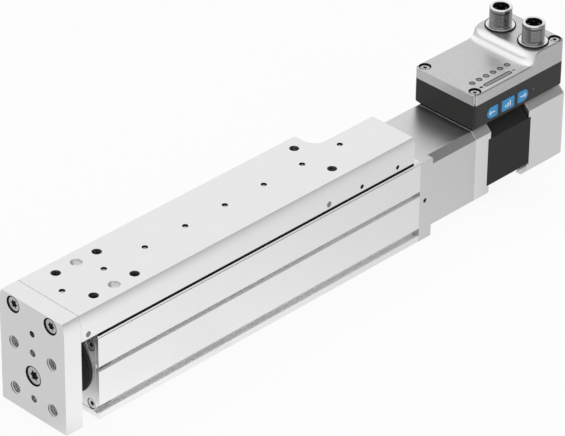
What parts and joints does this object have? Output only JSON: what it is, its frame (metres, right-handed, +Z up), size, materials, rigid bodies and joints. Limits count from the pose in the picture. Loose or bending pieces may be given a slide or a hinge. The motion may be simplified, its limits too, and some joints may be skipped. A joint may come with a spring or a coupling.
{
  "type": "miniature linear slide",
  "caption": "Electric linear slide with a guided table and yoke plate driven by a ball screw, a stepper motor behind it and a control unit with round connectors on top",
  "frame": {"origin": "middle of the base profile's underside", "axes": "+X along the travel from the yoke plate to the motor, +Z up from the mounting face, -Y towards the side with the buttons"},
  "size_m": [0.3519, 0.045, 0.0865],
  "materials": {
    "anodised": "satin anodised",
    "machined_aluminium": "machined",
    "sheet_cover": "brushed",
    "laminations": "dark oxide",
    "steel": "ground",
    "screw_steel": "zinc plated",
    "connector_metal": "nickel plated",
    "dark_case": "fine grain",
    "black_plastic": "smooth",
    "button_blue": "smooth",
    "lens_dark": "tinted",
    "lens_clear": "frosted",
    "rubber_black": "smooth",
    "board_green": "solder mask",
    "copper_winding": "enamelled",
    "pin_gold": "plated",
    "magnet_dark": "sintered",
    "bearing_bronze": "sintered",
    "spider_red": "moulded",
    "plug_grey": "smooth"
  },
  "bodies": {
    "housing": {"base_profile": "anodised", "front_cap": "anodised", "bearing_cap": "anodised", "coupling_housing": "anodised", "front_cap_screws": "screw_steel", "rod_wiper": "rubber_black", "rod_bush": "bearing_bronze", "front_carriage": "steel", "rear_carriage": "steel", "carriage_end_caps": "black_plastic", "carriage_screws": "screw_steel", "bearing_outer_rings": "steel", "bearing_retainer": "steel", "housing_screws": "screw_steel", "stop_buffers": "rubber_black", "motor_front_bell": "machined_aluminium", "stator_stack": "laminations", "stator_coils": "copper_winding", "motor_rear_bell": "machined_aluminium", "motor_bolts": "screw_steel", "motor_bearing_outers": "steel", "encoder_board": "board_green", "control_base": "dark_case", "base_screws": "screw_steel", "circuit_board": "board_green", "control_cover": "sheet_cover", "cover_gasket": "rubber_black", "cover_screws": "screw_steel", "supply_connector": "connector_metal", "signal_connector": "connector_metal", "connector_inserts": "black_plastic", "connector_pins": "pin_gold", "connector_seals": "rubber_black", "indicator_lenses": "lens_dark", "level_window": "lens_clear", "status_lens": "lens_clear"},
    "slide": {"slide_table": "anodised", "guide_rail": "steel", "rail_screws": "screw_steel", "yoke_plate": "anodised", "yoke_screws": "screw_steel", "rod_screw": "screw_steel", "push_rod": "steel", "nut_carrier": "black_plastic", "screw_nut": "steel", "position_magnet": "magnet_dark", "side_plugs": "plug_grey"},
    "spindle": {"ball_spindle": "steel", "bearing_inner_rings": "steel", "bearing_balls": "steel", "spindle_hub": "machined_aluminium", "coupling_spider": "spider_red", "motor_hub": "machined_aluminium", "motor_shaft": "steel", "rotor_core": "magnet_dark", "motor_bearing_inners": "steel", "encoder_magnet": "magnet_dark"},
    "left_button_body": {"left_button": "button_blue"},
    "middle_button_body": {"middle_button": "button_blue"},
    "right_button_body": {"right_button": "button_blue"}
  },
  "joints": [
    {"name": "slide_travel", "type": "slide", "parent": "housing", "child": "slide", "axis": [-1, 0, 0], "range_m": [0, 0.1]},
    {"name": "spindle_spin", "type": "hinge", "parent": "housing", "child": "spindle", "pos_m": [0, 0, 0.0243], "axis": [1, 0, 0], "range_deg": [0, 3600]},
    {"name": "left_button_press", "type": "slide", "parent": "housing", "child": "left_button_body", "axis": [0, 1, 0], "range_m": [0, 0.0004], "stiffness_N_per_m": 500},
    {"name": "middle_button_press", "type": "slide", "parent": "housing", "child": "middle_button_body", "axis": [0, 1, 0], "range_m": [0, 0.0004], "stiffness_N_per_m": 500},
    {"name": "right_button_press", "type": "slide", "parent": "housing", "child": "right_button_body", "axis": [0, 1, 0], "range_m": [0, 0.0004], "stiffness_N_per_m": 500}
  ],
  "couplings": [
    {"joint": "spindle_spin", "follows": "slide_travel", "rad_per_m": 628.3}
  ]
}
